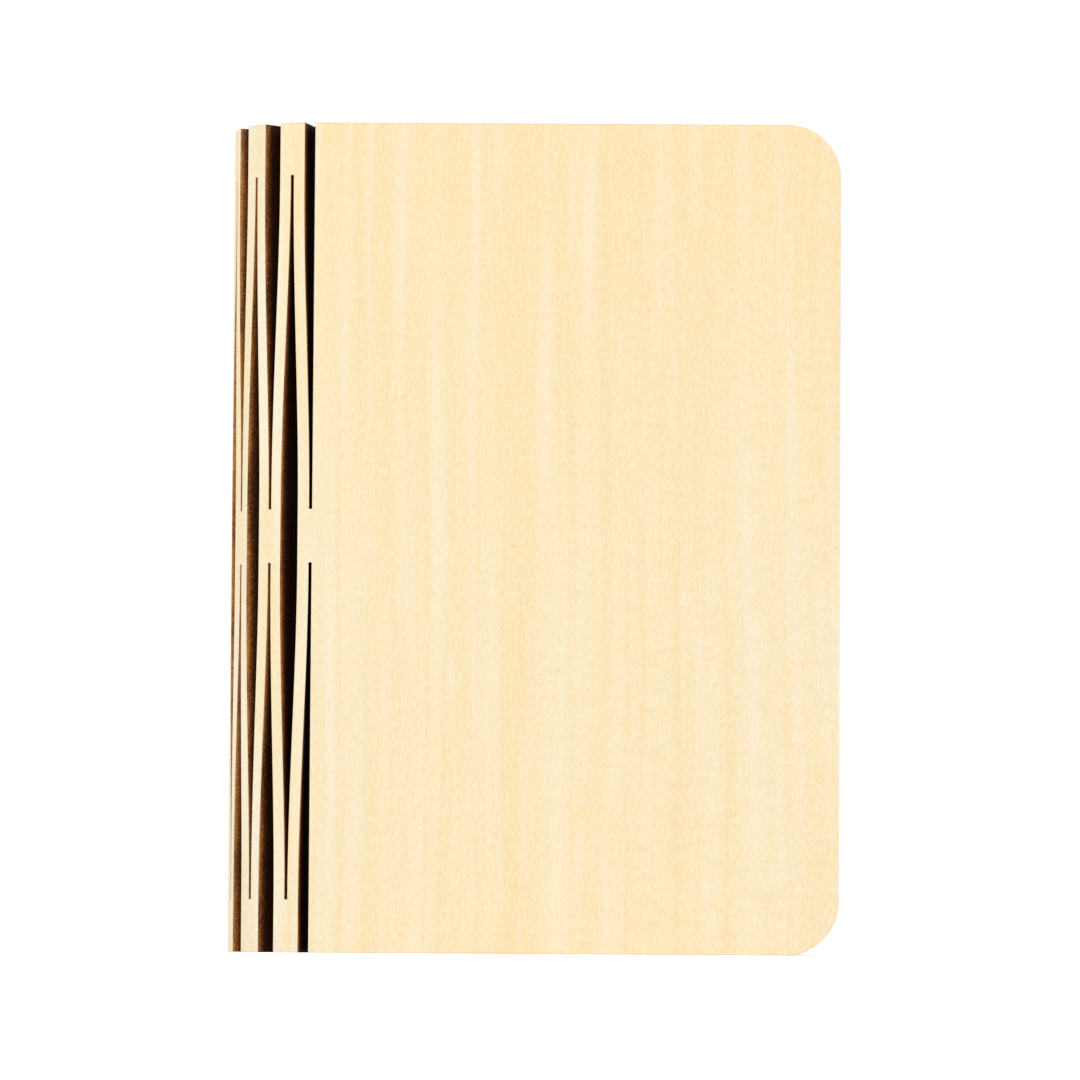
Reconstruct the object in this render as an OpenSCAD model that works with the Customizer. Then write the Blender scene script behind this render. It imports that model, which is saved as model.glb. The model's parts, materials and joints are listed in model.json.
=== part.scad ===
// Folding book lamp: a shut wooden book that stands upright on the edges of its covers.
// Two boards are joined by a living-hinge spine of twelve twisting strips. An accordion of
// paper leaves joins the insides of the covers, and a slim lamp core stands behind the spine.
// Seen from above, the spine curls round the core from the front cover (low Y) to the back
// cover (high Y), and the fore-edges point along +X. The origin is the middle of the base.

/* [Boards] */
// Height of the book along the spine
book_h = 122; // [100:1:200]
// Thickness of the board that covers and spine are cut from
board_t = 4; // [3.4:0.1:4.1]
// Width of a cover from its first spine slot to the fore-edge
cover_w = 77.4; // [70:0.2:140]
// Radius of the two fore-edge corners of a cover
cover_corner_r = 7.8; // [2:0.2:20]

/* [Spine hinge] */
// Width of one twisting strip
strip_w = 1.64; // [1.6:0.02:2.2]
// Width of a cut slot while the spine lies flat
slot_w = 0.46; // [0.3:0.02:0.8]
// How far a strip bows sideways, halfway between its bridges, when the book is shut
strip_bow = 0.29; // [0.2:0.01:0.5]
// Height of the bridges at the two ends of the spine
end_bridge_h = 7.7; // [5:0.1:15]
// Height of the bridges at the middle of the spine
mid_bridge_h = 7.8; // [5:0.1:15]

/* [Pages] */
// Thickness of the page sheet
leaf_t = 0.25; // [0.1:0.05:0.35]
// Distance from the front of the core's diffuser to the inner folds
leaf_core_gap = 1.83; // [1.5:0.01:10]
// Distance of the pages from the top and bottom edges of the covers
leaf_end_gap = 5; // [2:0.5:10]
// Distance from the outer folds to the fore-edge of the covers
leaf_margin = 5; // [2:0.5:10]
// Angle left free inside an outer fold, so that it can open
outer_fold_gap = 22; // [20:1:60]
// Angle left free inside an inner fold, so that it can open
inner_fold_gap = 56; // [54:1:90]
// Angle left free inside the middle fold, where the two halves of the pages meet
middle_fold_gap = 90; // [80:1:120]

/* [Lamp core] */
// Outer radius of the core tube
core_r = 7.8; // [7.8:0.05:8]
// Wall between the core's bore and its outside
core_wall = 0.5; // [0.4:0.05:0.5]
// Half width of the flat boss that carries the light strip
boss_half_w = 6.4; // [6:0.1:7]
// Distance from the core's axis to the front of its boss
boss_reach = 9.2; // [9:0.1:10]
// Thickness of an end cap outside the tube
cap_t = 2; // [1:0.1:3]
// Depth of the plug of an end cap inside the tube
cap_plug_h = 3; // [2:0.1:6]
// Clearance round the plug of an end cap
cap_clearance = 0.1; // [0.05:0.01:0.2]
// Height of the adhesive pad on the middle spine link
pad_h = 7.4; // [4:0.2:20]
// Width of the adhesive pad
pad_w = 2.4; // [2:0.1:2.8]

/* [Light strip] */
// Width of the light strip board
light_board_w = 6; // [5:0.1:6.2]
// Thickness of the light strip board
light_board_t = 1; // [0.6:0.1:1.2]
// Distance of the light strip board from each end of the core tube
light_end_gap = 9; // [7:0.5:16]
// Clearance on each side of the light strip board in its recess
light_board_clearance = 0.15; // [0.05:0.01:0.3]
// Number of LEDs on the strip
led_count = 12; // [6:1:20]
// Width of an LED
led_w = 2.8; // [2:0.1:3.2]
// Height of an LED along the strip
led_h = 3.5; // [2:0.1:4]
// Thickness of an LED
led_t = 0.8; // [0.5:0.05:1]
// Depth of the LEDs' feet below the front of the boss
led_inset = 0.3; // [0.1:0.05:0.4]
// Outer radius of the diffuser's curved front
diffuser_r = 4.6; // [4:0.1:5]
// Wall of the diffuser
diffuser_wall = 0.8; // [0.6:0.05:1]
// Distance from the core's axis to the axis of the diffuser's curve
diffuser_axis = 8.2; // [8:0.1:8.6]

/* [Power] */
// Radius of the lithium cell
cell_r = 7; // [6.5:0.05:7]
// Height of the lithium cell
cell_h = 50; // [40:0.5:52]
// Gap between the bottom cap's plug and the cell's strap
cell_floor_gap = 1; // [0.5:0.1:3]
// Thickness of the nickel straps on the cell
strap_t = 0.12; // [0.08:0.01:0.14]
// Width of the nickel straps
strap_w = 1.6; // [1:0.1:1.8]
// Width of the control board
board_w = 12; // [10:0.1:13]
// Gap between the cell's top strap and the control board
board_gap = 2.5; // [1:0.1:6]
// Thickness of the control board
pcb_t = 1; // [0.6:0.1:1.6]
// Width of the charging socket shell
socket_w = 8.9; // [8.5:0.05:9.2]
// Thickness of the charging socket shell
socket_t = 3.2; // [3:0.05:3.4]
// Depth of the charging socket shell
socket_depth = 7.3; // [6:0.1:9]
// Wall of the charging socket shell
socket_wall = 0.3; // [0.2:0.05:0.4]
// Clearance round the charging socket in the top cap
socket_clearance = 0.1; // [0.05:0.01:0.3]
// Radius of the charge indicator lens
lens_r = 1; // [0.6:0.1:1.3]
// Distance of the indicator lens from the core's axis
lens_offset = 4.6; // [3.8:0.1:5]
// Clearance round the indicator lens
lens_clearance = 0.02; // [0.01:0.01:0.1]
// Thickness of the tongue inside the charging socket
tongue_t = 0.7; // [0.6:0.05:0.8]
// Depth of the tongue behind the mouth of the charging socket
tongue_inset = 1.2; // [0.5:0.1:3]

/* [Screws and magnets] */
// Radius of the shank of an end cap screw
screw_r = 0.6; // [0.5:0.05:0.7]
// Length of an end cap screw under its head
screw_l = 6; // [4:0.5:10]
// Radius of the head of an end cap screw
screw_head_r = 1.1; // [0.9:0.05:1.2]
// Height of the head of an end cap screw
screw_head_h = 0.9; // [0.6:0.05:1]
// Distance of the cap screws from the core's axis towards the pages
screw_reach = 7.2; // [7.1:0.05:7.6]
// Distance of the cap screws from the core's middle plane
screw_side = 5; // [4.9:0.05:5.1]
// Clearance round a screw's shank and its head
screw_clearance = 0.02; // [0.01:0.01:0.1]
// Radius of a cover magnet
magnet_r = 4; // [3:0.1:5]
// Thickness of a cover magnet
magnet_t = 1.5; // [1:0.1:2]
// Distance of the cover magnets from the fore-edge
magnet_inset = 12; // [10:0.5:20]
// Distance of the cover magnets from the top and bottom edges
magnet_end = 15; // [12:0.5:30]
// Radius of the trigger magnet
trigger_r = 2.5; // [1.5:0.1:3]
// Distance of the trigger magnet from the first spine slot
trigger_inset = 6; // [4:0.1:9]
// Clearance round and over a magnet in its pocket
magnet_clearance = 0.06; // [0.03:0.01:0.15]

/* [Hidden] */
$fn = 48;
strip_count = 12;
link_count = strip_count - 1;
middle_link = strip_count / 2;
leaves_per_half = 12;
// a cut runs this far past the face it opens, and a bridge this far into its panel
past = 0.5;

LINK_NAMES = [for (i = [1:link_count]) str("spine_link_", i)];
FRONT_LEAF_NAMES = [for (j = [1:leaves_per_half - 1]) str("front_leaf_", j)];
BACK_LEAF_NAMES = [for (j = [1:leaves_per_half - 1]) str("back_leaf_", j)];

// Spine: each strip is a hinge that turns by the same angle, so the shut spine is a half circle
bend = 180 / strip_count;
// distance between two neighbouring hinge lines
hinge_pitch = strip_w + slot_w + 2 * strip_bow;
// width of the bridge that joins two strips
bridge_w = 2 * strip_w + slot_w;
// distance from a cover's slot edge to the hinge line of its first strip
cover_to_hinge = slot_w + strip_w / 2 + strip_bow;
function total(list, i = 0) = i < len(list) ? list[i] + total(list, i + 1) : 0;
// direction of a link, seen from above, on the way from the front cover to the back cover
function link_angle(i) = 180 - bend * i;
// distance between the middle planes of the two covers
cover_span = hinge_pitch * total([for (i = [1:link_count]) sin(link_angle(i))]);
// distance from the middle plane of the middle link to the first hinge line
spine_depth = hinge_pitch * total([for (i = [1:middle_link - 1]) cos(bend * i)]);
fore_edge = spine_depth + cover_to_hinge + cover_w;
// how far the corners of the links next to the middle link stand behind its middle plane
strip_edge_reach = bridge_w / 2 + strip_bow;
spine_reach = board_t / 2 * cos(bend) + (strip_edge_reach - hinge_pitch / 2) * sin(bend);
// moves the middle link's plane so that the origin is the middle of the base
spine_x = -(fore_edge - spine_reach) / 2;
first_hinge_x = spine_x + spine_depth;
cover_x = first_hinge_x + cover_to_hinge;
fore_x = spine_x + fore_edge;
inner_face_y = cover_span / 2 - board_t / 2;
// place of hinge line k, from 1 at the front cover to strip_count at the back cover
function hinge_at(k) = k == 1
    ? [first_hinge_x, -cover_span / 2]
    : hinge_at(k - 1) + hinge_pitch * [cos(link_angle(k - 1)), sin(link_angle(k - 1))];

// heights of the bridges, and of the levels halfway between them, where a strip is parted
mid_bridge_z = book_h / 2 - mid_bridge_h / 2;
part_z = (end_bridge_h + mid_bridge_z) / 2;

// Core: its axis is where the shut spine's half circle has its centre, and its caps are flush
// with the ends of the spine
core_x = spine_x + hinge_pitch / 2 / tan(bend / 2);
core_z = cap_t;
core_h = book_h - 2 * cap_t;
core_top = core_z + core_h;
light_board_z = core_z + light_end_gap;
light_board_h = core_h - 2 * light_end_gap;
bore_r = core_r - core_wall;
// distance from the core's axis to the flat seat of the adhesive pad, cut into the tube's back
pad_seat = sqrt(core_r * core_r - pad_w * pad_w / 4);
pad_z = (book_h - pad_h) / 2;
recess_half_w = light_board_w / 2 + light_board_clearance;
led_floor = boss_reach - led_inset;
recess_floor = led_floor - light_board_t;
diffuser_seat = boss_reach;
cell_z = core_z + cap_plug_h + cell_floor_gap + strap_t;
board_z = cell_z + cell_h + strap_t + board_gap;
board_top = book_h - socket_depth;
board_h = board_top - board_z;
screw_hole_r = screw_r + screw_clearance;
screw_head_hole_r = screw_head_r + screw_clearance;
// parts on the control board: [depth below its top edge, place across it, width, height, thickness]
BACK_SIDE_PARTS = [[8, 0, 3, 3, 0.9], [16, -2.5, 4, 4, 2], [16, 3, 2, 1.2, 1],
                   [23, 0, 4, 5, 1.2], [31, -3, 1.6, 3.2, 1], [31, 2.5, 1.6, 3.2, 1]];
FRONT_SIDE_PARTS = [[12, -2.5, 2, 2, 0.8], [18, 2.5, 2, 1.2, 0.8], [28, 0, 3, 1.6, 1.1]];
SENSOR = [6, -2.6, 3, 2.9, 1.1];

// Pages: the leaf next to the middle plane is half a pitch from it, the endpaper is on the board
leaf_pitch = (inner_face_y - leaf_t / 2) / (leaves_per_half - 0.5);
leaf_h = book_h - 2 * leaf_end_gap;
outer_fold_x = fore_x - leaf_margin;
inner_fold_x = core_x + diffuser_axis + diffuser_r + leaf_core_gap;
leaf_w = outer_fold_x - inner_fold_x;

// ---------- spine ----------

// a plate of board thickness, drawn as width against height, standing on its link's middle plane
module board_plate() rotate([90, 0, 0]) linear_extrude(board_t, center = true) children();

// side view of an end bridge with the lower halves of its two strips, from its end upwards
module end_bridge_outline() {
    side = bridge_w / 2;
    polygon([
        [-side, 0], [side, 0], [side, end_bridge_h],
        [side + strip_bow, part_z], [side + strip_bow - strip_w, part_z],
        [slot_w / 2, end_bridge_h], [-slot_w / 2, end_bridge_h],
        [-side - strip_bow + strip_w, part_z], [-side - strip_bow, part_z],
        [-side, end_bridge_h]]);
}

// side view of a middle bridge with the halves of its four strips, about its own middle
module middle_bridge_outline() {
    side = bridge_w / 2;
    low = mid_bridge_h / 2;
    high = book_h / 2 - part_z;
    upper = [[side, low], [side + strip_bow, high], [side + strip_bow - strip_w, high],
             [slot_w / 2, low], [-slot_w / 2, low],
             [-side - strip_bow + strip_w, high], [-side - strip_bow, high], [-side, low]];
    polygon(concat(upper, -upper));
}

// moves its children from the link's own frame to the middle of link i
module at_link(i) {
    middle = (hinge_at(i) + hinge_at(i + 1)) / 2;
    translate([middle[0], middle[1], 0]) rotate([0, 0, link_angle(i)]) children();
}

// odd links are bridged at their two ends, even links at mid height
module spine_link(i) color("burlywood") at_link(i) {
    if (i % 2 == 1) {
        board_plate() end_bridge_outline();
        translate([0, 0, book_h]) mirror([0, 0, 1]) board_plate() end_bridge_outline();
    } else {
        translate([0, 0, book_h / 2]) board_plate() middle_bridge_outline();
    }
}

// ---------- covers ----------

// face view of a cover's middle bridge with the halves of its first strip
module cover_bridge_outline() {
    strip_edge = cover_x - slot_w;
    far = strip_edge - strip_w;
    part_edge = strip_edge - strip_bow;
    part_far = far - strip_bow;
    polygon([
        [cover_x + past, mid_bridge_z], [strip_edge, mid_bridge_z], [part_edge, part_z],
        [part_far, part_z], [far, mid_bridge_z],
        [far, book_h - mid_bridge_z], [part_far, book_h - part_z],
        [part_edge, book_h - part_z], [strip_edge, book_h - mid_bridge_z],
        [cover_x + past, book_h - mid_bridge_z]]);
}

// face view of a cover's panel
module cover_panel_outline() difference() {
    translate([cover_x, 0]) square([cover_w, book_h]);
    for (z = [0, 1]) translate([fore_x, z * book_h]) mirror([0, z])
        corner_waste(cover_corner_r);
}

// the square corner outside a rounded one, with its tip at the origin and to the left and above
module corner_waste(r) difference() {
    translate([-r, -past]) square([r + past, r + past]);
    translate([-r, r]) circle(r);
}

// the places of the cover magnets, in the face view
module at_cover_magnets() for (z = [magnet_end, book_h - magnet_end])
    translate([fore_x - magnet_inset, 0, z]) children();

module at_trigger_magnet()
    translate([cover_x + trigger_inset, 0, board_top - SENSOR[0]]) children();

// a disc under the inner face of the front cover, from depth low to depth high
module front_face_disc(r, low, high)
    translate([0, -inner_face_y - low, 0]) rotate([90, 0, 0]) cylinder(r = r, h = high - low);

module cover_board(with_trigger) difference() {
    translate([0, -cover_span / 2, 0]) {
        board_plate() cover_panel_outline();
        board_plate() cover_bridge_outline();
    }
    at_cover_magnets()
        front_face_disc(magnet_r + magnet_clearance, -past, magnet_t + magnet_clearance);
    if (with_trigger) at_trigger_magnet()
        front_face_disc(trigger_r + magnet_clearance, -past, magnet_t + magnet_clearance);
}

module front_cover() color("wheat") cover_board(true);

module back_cover() color("wheat") mirror([0, 1, 0]) cover_board(false);

module cover_magnets() at_cover_magnets()
    front_face_disc(magnet_r, magnet_clearance, magnet_t + magnet_clearance);

module front_magnets() color("silver") cover_magnets();

module back_magnets() color("silver") mirror([0, 1, 0]) cover_magnets();

module trigger_magnet() color("silver") at_trigger_magnet()
    front_face_disc(trigger_r, magnet_clearance, magnet_t + magnet_clearance);

// ---------- pages ----------

// seen from above: a quarter of a fold, less half its free angle, round the origin.
// It starts at the leaf above the origin and bends down to the right.
module fold_quarter(free_angle) {
    radius = leaf_pitch / 2;
    reach = 2 * radius;
    half_free = free_angle / 2;
    intersection() {
        difference() {
            circle(radius + leaf_t / 2);
            circle(radius - leaf_t / 2);
        }
        polygon([[0, 0], [0, reach], [reach, reach], reach * [cos(half_free), sin(half_free)]]);
    }
}

// leaf j of the back half, from 0 on the cover to the last one by the middle plane.
// Even leaves turn down to the middle at the fore-edge, odd ones at the spine side.
module leaf(j) {
    turns = j % 2 == 0 ? 1 : -1;
    last = j == leaves_per_half - 1;
    y = leaf_pitch * (leaves_per_half - 0.5 - j);
    translate([0, y, leaf_end_gap]) linear_extrude(leaf_h) union() {
        translate([inner_fold_x, -leaf_t / 2]) square([leaf_w, leaf_t]);
        mirror([0, turns > 0 ? 0 : 1]) translate([outer_fold_x, -leaf_pitch / 2])
            fold_quarter(outer_fold_gap);
        if (j > 0) mirror([0, turns > 0 ? 1 : 0]) translate([inner_fold_x, -leaf_pitch / 2])
            mirror([1, 0]) fold_quarter(last ? middle_fold_gap : inner_fold_gap);
    }
}

module back_leaf(j) color("ivory") leaf(j);

module front_leaf(j) color("ivory") mirror([0, 1, 0]) leaf(j);

// ---------- lamp core ----------

// the core's outline, seen from above: a round tube with a flat boss towards the pages
module core_outline() {
    circle(core_r);
    translate([core_r / 2, -boss_half_w]) square([boss_reach - core_r / 2, 2 * boss_half_w]);
}

// the places of the two screws of a cap
module at_screws() for (side = [-1, 1])
    translate([screw_reach, side * screw_side, 0]) children();

module core_tube() color("darkslategray") translate([core_x, 0, core_z]) difference() {
    linear_extrude(core_h) difference() {
        core_outline();
        circle(bore_r);
    }
    translate([recess_floor, -recess_half_w, light_end_gap - light_board_clearance])
        cube([boss_reach - recess_floor + past, 2 * recess_half_w,
              light_board_h + 2 * light_board_clearance]);
    translate([-core_r - past, -core_r, pad_z - core_z])
        cube([core_r + past - pad_seat, 2 * core_r, pad_h]);
    for (z = [-past, core_h - screw_l - past]) translate([0, 0, z])
        at_screws() cylinder(r = screw_hole_r, h = screw_l + 2 * past);
}

// the pad fills the room between the middle link and its seat on the tube
module core_pad() color("dimgray") translate([spine_x + board_t / 2, -pad_w / 2, pad_z])
    cube([core_x - pad_seat - spine_x - board_t / 2, pad_w, pad_h]);

// a cap lying under the tube, with its plug upwards and its outer face at z = 0
module cap_blank() difference() {
    union() {
        linear_extrude(cap_t) core_outline();
        cylinder(r = bore_r - cap_clearance, h = cap_t + cap_plug_h);
    }
    at_screws() translate([0, 0, -past]) cylinder(r = screw_hole_r, h = cap_t + 2 * past);
    at_screws() translate([0, 0, -past]) cylinder(r = screw_head_hole_r, h = screw_head_h + past);
}

module bottom_cap() color("darkslategray") translate([core_x, 0, 0]) cap_blank();

// seen from above: a slot with round ends along X
module round_slot(width, thickness) {
    square([width - thickness, thickness], center = true);
    for (side = [-1, 1]) translate([side * (width - thickness) / 2, 0]) circle(thickness / 2);
}

module top_cap() color("darkslategray") translate([core_x, 0, book_h]) difference() {
    mirror([0, 0, 1]) cap_blank();
    translate([0, 0, -cap_t - cap_plug_h - past]) linear_extrude(cap_t + cap_plug_h + 2 * past)
        round_slot(socket_w + 2 * socket_clearance, socket_t + 2 * socket_clearance);
    translate([0, lens_offset, -cap_t - cap_plug_h - past])
        cylinder(r = lens_r + lens_clearance, h = cap_t + cap_plug_h + 2 * past);
}

// one screw with its head's outer face at z = 0, pointing up
module cap_screw() {
    difference() {
        cylinder(r = screw_head_r, h = screw_head_h);
        translate([0, 0, -past]) cylinder(r = screw_head_r / 2, h = past + screw_head_h / 2, $fn = 6);
    }
    translate([0, 0, screw_head_h]) cylinder(r = screw_r, h = screw_l - screw_head_h);
}

module cap_screws() color("gray") translate([core_x, 0, 0]) {
    at_screws() cap_screw();
    translate([0, 0, book_h]) mirror([0, 0, 1]) at_screws() cap_screw();
}

module light_board() color("whitesmoke")
    translate([core_x + recess_floor, -light_board_w / 2, light_board_z])
        cube([light_board_t, light_board_w, light_board_h]);

module leds() color("khaki") {
    spacing = light_board_h / led_count;
    for (n = [0:led_count - 1])
        translate([core_x + led_floor, -led_w / 2, light_board_z + spacing * (n + 0.5) - led_h / 2])
            cube([led_t, led_w, led_h]);
}

module diffuser() color("white", 0.6)
    translate([core_x, 0, core_z]) linear_extrude(core_h) difference() {
        translate([diffuser_axis, 0]) circle(diffuser_r);
        translate([diffuser_axis, 0]) circle(diffuser_r - diffuser_wall);
        translate([diffuser_axis - diffuser_r - past, -diffuser_r - past])
            square([diffuser_seat - diffuser_axis + diffuser_r + past, 2 * (diffuser_r + past)]);
    }

module cell() color("steelblue") translate([core_x, 0, cell_z])
    cylinder(r = cell_r, h = cell_h);

// a tab under the cell with a riser along its side, and a tab on top of the cell
module cell_straps() color("silver") translate([core_x, 0, cell_z]) {
    riser_x = (cell_r + bore_r) / 2 - strap_t / 2;
    translate([-strap_w, -strap_w / 2, -strap_t])
        cube([strap_w + riser_x + strap_t, strap_w, strap_t]);
    translate([riser_x, -strap_w / 2, -strap_t]) cube([strap_t, strap_w, cell_h + strap_t]);
    translate([-strap_w, -strap_w / 2, cell_h]) cube([2 * strap_w, strap_w, strap_t]);
}

module control_board() color("seagreen") translate([core_x - board_w / 2, -pcb_t / 2, board_z])
    cube([board_w, pcb_t, board_h]);

// a block standing on the back side of the control board
module board_block(part)
    translate([part[1] - part[2] / 2, pcb_t / 2, -part[0] - part[3] / 2])
        cube([part[2], part[4], part[3]]);

module board_parts() color("black") translate([core_x, 0, board_top]) {
    for (part = BACK_SIDE_PARTS) board_block(part);
    mirror([0, 1, 0]) for (part = FRONT_SIDE_PARTS) board_block(part);
}

module field_sensor() color("darkslategray") translate([core_x, 0, board_top])
    mirror([0, 1, 0]) board_block(SENSOR);

module socket_shell() color("silver") translate([core_x, 0, board_top]) difference() {
    linear_extrude(socket_depth) round_slot(socket_w, socket_t);
    translate([0, 0, socket_wall]) linear_extrude(socket_depth)
        round_slot(socket_w - 2 * socket_wall, socket_t - 2 * socket_wall);
}

module socket_tongue() color("black")
    translate([core_x, 0, board_top + socket_wall])
        linear_extrude(socket_depth - socket_wall - tongue_inset)
            square([socket_w - socket_t, tongue_t], center = true);

module indicator_lens() color("white", 0.7)
    translate([core_x, lens_offset, core_top - cap_plug_h])
        cylinder(r = lens_r, h = cap_t + cap_plug_h);

// ---------- the assembly ----------

front_cover();
back_cover();
front_magnets();
back_magnets();
trigger_magnet();
for (i = [1:link_count])
    spine_link(i);
front_leaf(0);  // front_endpaper
back_leaf(0);  // back_endpaper
for (j = [1:leaves_per_half - 1])
    front_leaf(j);
for (j = [1:leaves_per_half - 1])
    back_leaf(j);
core_tube();
core_pad();
top_cap();
bottom_cap();
cap_screws();
diffuser();
light_board();
leds();
cell();
cell_straps();
control_board();
board_parts();
field_sensor();
socket_shell();
socket_tongue();
indicator_lens();
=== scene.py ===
"""Folding book lamp: the looks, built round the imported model.

The board that covers and spine are cut from is drawn in sheet coordinates: the distance along the
unrolled board, the height, and the depth under its outer face. Every wooden piece stores them in its
mesh, so that the grain runs on from cover to spine and stays in place when the spine bends.
"""
import json
import math

import bmesh
import bpy
import numpy as np
from mathutils import Matrix, Vector


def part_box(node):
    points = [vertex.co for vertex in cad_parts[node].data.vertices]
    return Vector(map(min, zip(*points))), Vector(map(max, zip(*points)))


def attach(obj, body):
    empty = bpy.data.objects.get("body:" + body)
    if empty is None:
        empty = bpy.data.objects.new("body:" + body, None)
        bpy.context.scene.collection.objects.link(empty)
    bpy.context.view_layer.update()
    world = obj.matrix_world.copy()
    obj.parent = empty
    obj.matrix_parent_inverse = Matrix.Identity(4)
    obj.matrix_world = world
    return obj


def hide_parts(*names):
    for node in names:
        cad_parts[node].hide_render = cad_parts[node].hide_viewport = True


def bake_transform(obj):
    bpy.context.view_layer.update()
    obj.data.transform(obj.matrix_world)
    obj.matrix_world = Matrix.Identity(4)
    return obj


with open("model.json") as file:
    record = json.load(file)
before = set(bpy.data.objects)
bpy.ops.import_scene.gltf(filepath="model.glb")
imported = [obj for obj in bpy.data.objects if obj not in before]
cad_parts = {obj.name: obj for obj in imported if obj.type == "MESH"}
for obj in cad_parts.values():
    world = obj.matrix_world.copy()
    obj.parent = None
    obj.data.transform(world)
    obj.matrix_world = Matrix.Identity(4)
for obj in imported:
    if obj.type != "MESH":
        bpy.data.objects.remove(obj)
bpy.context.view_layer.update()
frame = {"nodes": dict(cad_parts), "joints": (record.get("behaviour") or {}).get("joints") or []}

MM = 0.001
HALVES = {"front": -1, "back": 1}

# ---------- the frame's own places ----------

JOINTS = {joint["name"]: Vector(joint["pos_m"]) for joint in frame["joints"]}
STRIP_COUNT = 12
LINK_COUNT = STRIP_COUNT - 1
MIDDLE_LINK = STRIP_COUNT // 2
LEAVES_PER_HALF = 12
COVER_LOW, COVER_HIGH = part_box("front_cover")
BOOK_H = COVER_HIGH.z
BOARD_T = COVER_HIGH.y - COVER_LOW.y
FORE_X = COVER_HIGH.x
HINGES = [None] + [JOINTS[f"spine_hinge_{number}"] for number in range(1, STRIP_COUNT + 1)]
OUTER_FOLD_X = JOINTS["front_fold_1"].x
INNER_FOLD_X = JOINTS["front_fold_2"].x
LEAF_PITCH = abs(JOINTS["front_fold_1"].y - JOINTS["front_fold_2"].y)
LEAF_LOW, LEAF_HIGH = (corner.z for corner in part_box("front_leaf_1"))

# ---------- sizes of the looks ----------

STRIP_W = 1.64 * MM
SLOT_W = 0.46 * MM
STRIP_BOW = 0.29 * MM
END_BRIDGE_H = 7.7 * MM
MIDDLE_BRIDGE_H = 7.8 * MM
CORNER_R = 7.8 * MM
LEAF_T = 0.25 * MM
# the arris of a cut edge
ARRIS = 0.05 * MM
# the round burn at the end of a slot, and how far a block carries its strips on past it
SLOT_TIP_R = 0.26 * MM
PRONG = 0.7 * MM
# the pockets behind the magnets
COVER_POCKET_R = 4.06 * MM
TRIGGER_POCKET_R = 2.56 * MM
POCKET_DEPTH = 1.56 * MM
# how far round the middle fold each half of it reaches
MIDDLE_FOLD_REACH = math.radians(64)
# a page's wave: its height to each side, its turn up the page, in radians per metre, and across it, in
# radians, and its shift from each page to the next and for the front half
PAGE_WAVE = 0.07 * MM
WAVE_TURN_UP = 55
WAVE_TURN_ACROSS = 3
WAVE_SHIFT = 2.4
FRONT_WAVE_SHIFT = 0.9

SLOT_PITCH = STRIP_W + SLOT_W
LINK_W = 2 * STRIP_W + SLOT_W
MIDDLE_LOW = BOOK_H / 2 - MIDDLE_BRIDGE_H / 2
MIDDLE_HIGH = BOOK_H / 2 + MIDDLE_BRIDGE_H / 2
LEAF_W = OUTER_FOLD_X - INNER_FOLD_X
# a cover's slot edge lies half a strip, a slot and the bow behind its hinge line
COVER_EDGE_X = HINGES[1].x + STRIP_BOW + STRIP_W / 2 + SLOT_W

# ---------- how finely the curves are drawn ----------

STRIP_LEVELS = 24
TIP_STEPS = 12
CORNER_STEPS = 24
POCKET_STEPS = 48
PAGE_ROWS = 14
LEAF_STEPS = 10
CREASE_STEPS = 10
MIDDLE_FOLD_STEPS = 5
# a distance in metres, or a turn in radians, that counts as none
TINY = 1e-6


# ---------- materials ----------

def tone(red, green, blue):
    """A colour written as on a screen, 0 to 255, as Blender's linear colour."""
    return tuple((level / 255) ** 2.2 for level in (red, green, blue)) + (1.0,)


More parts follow.
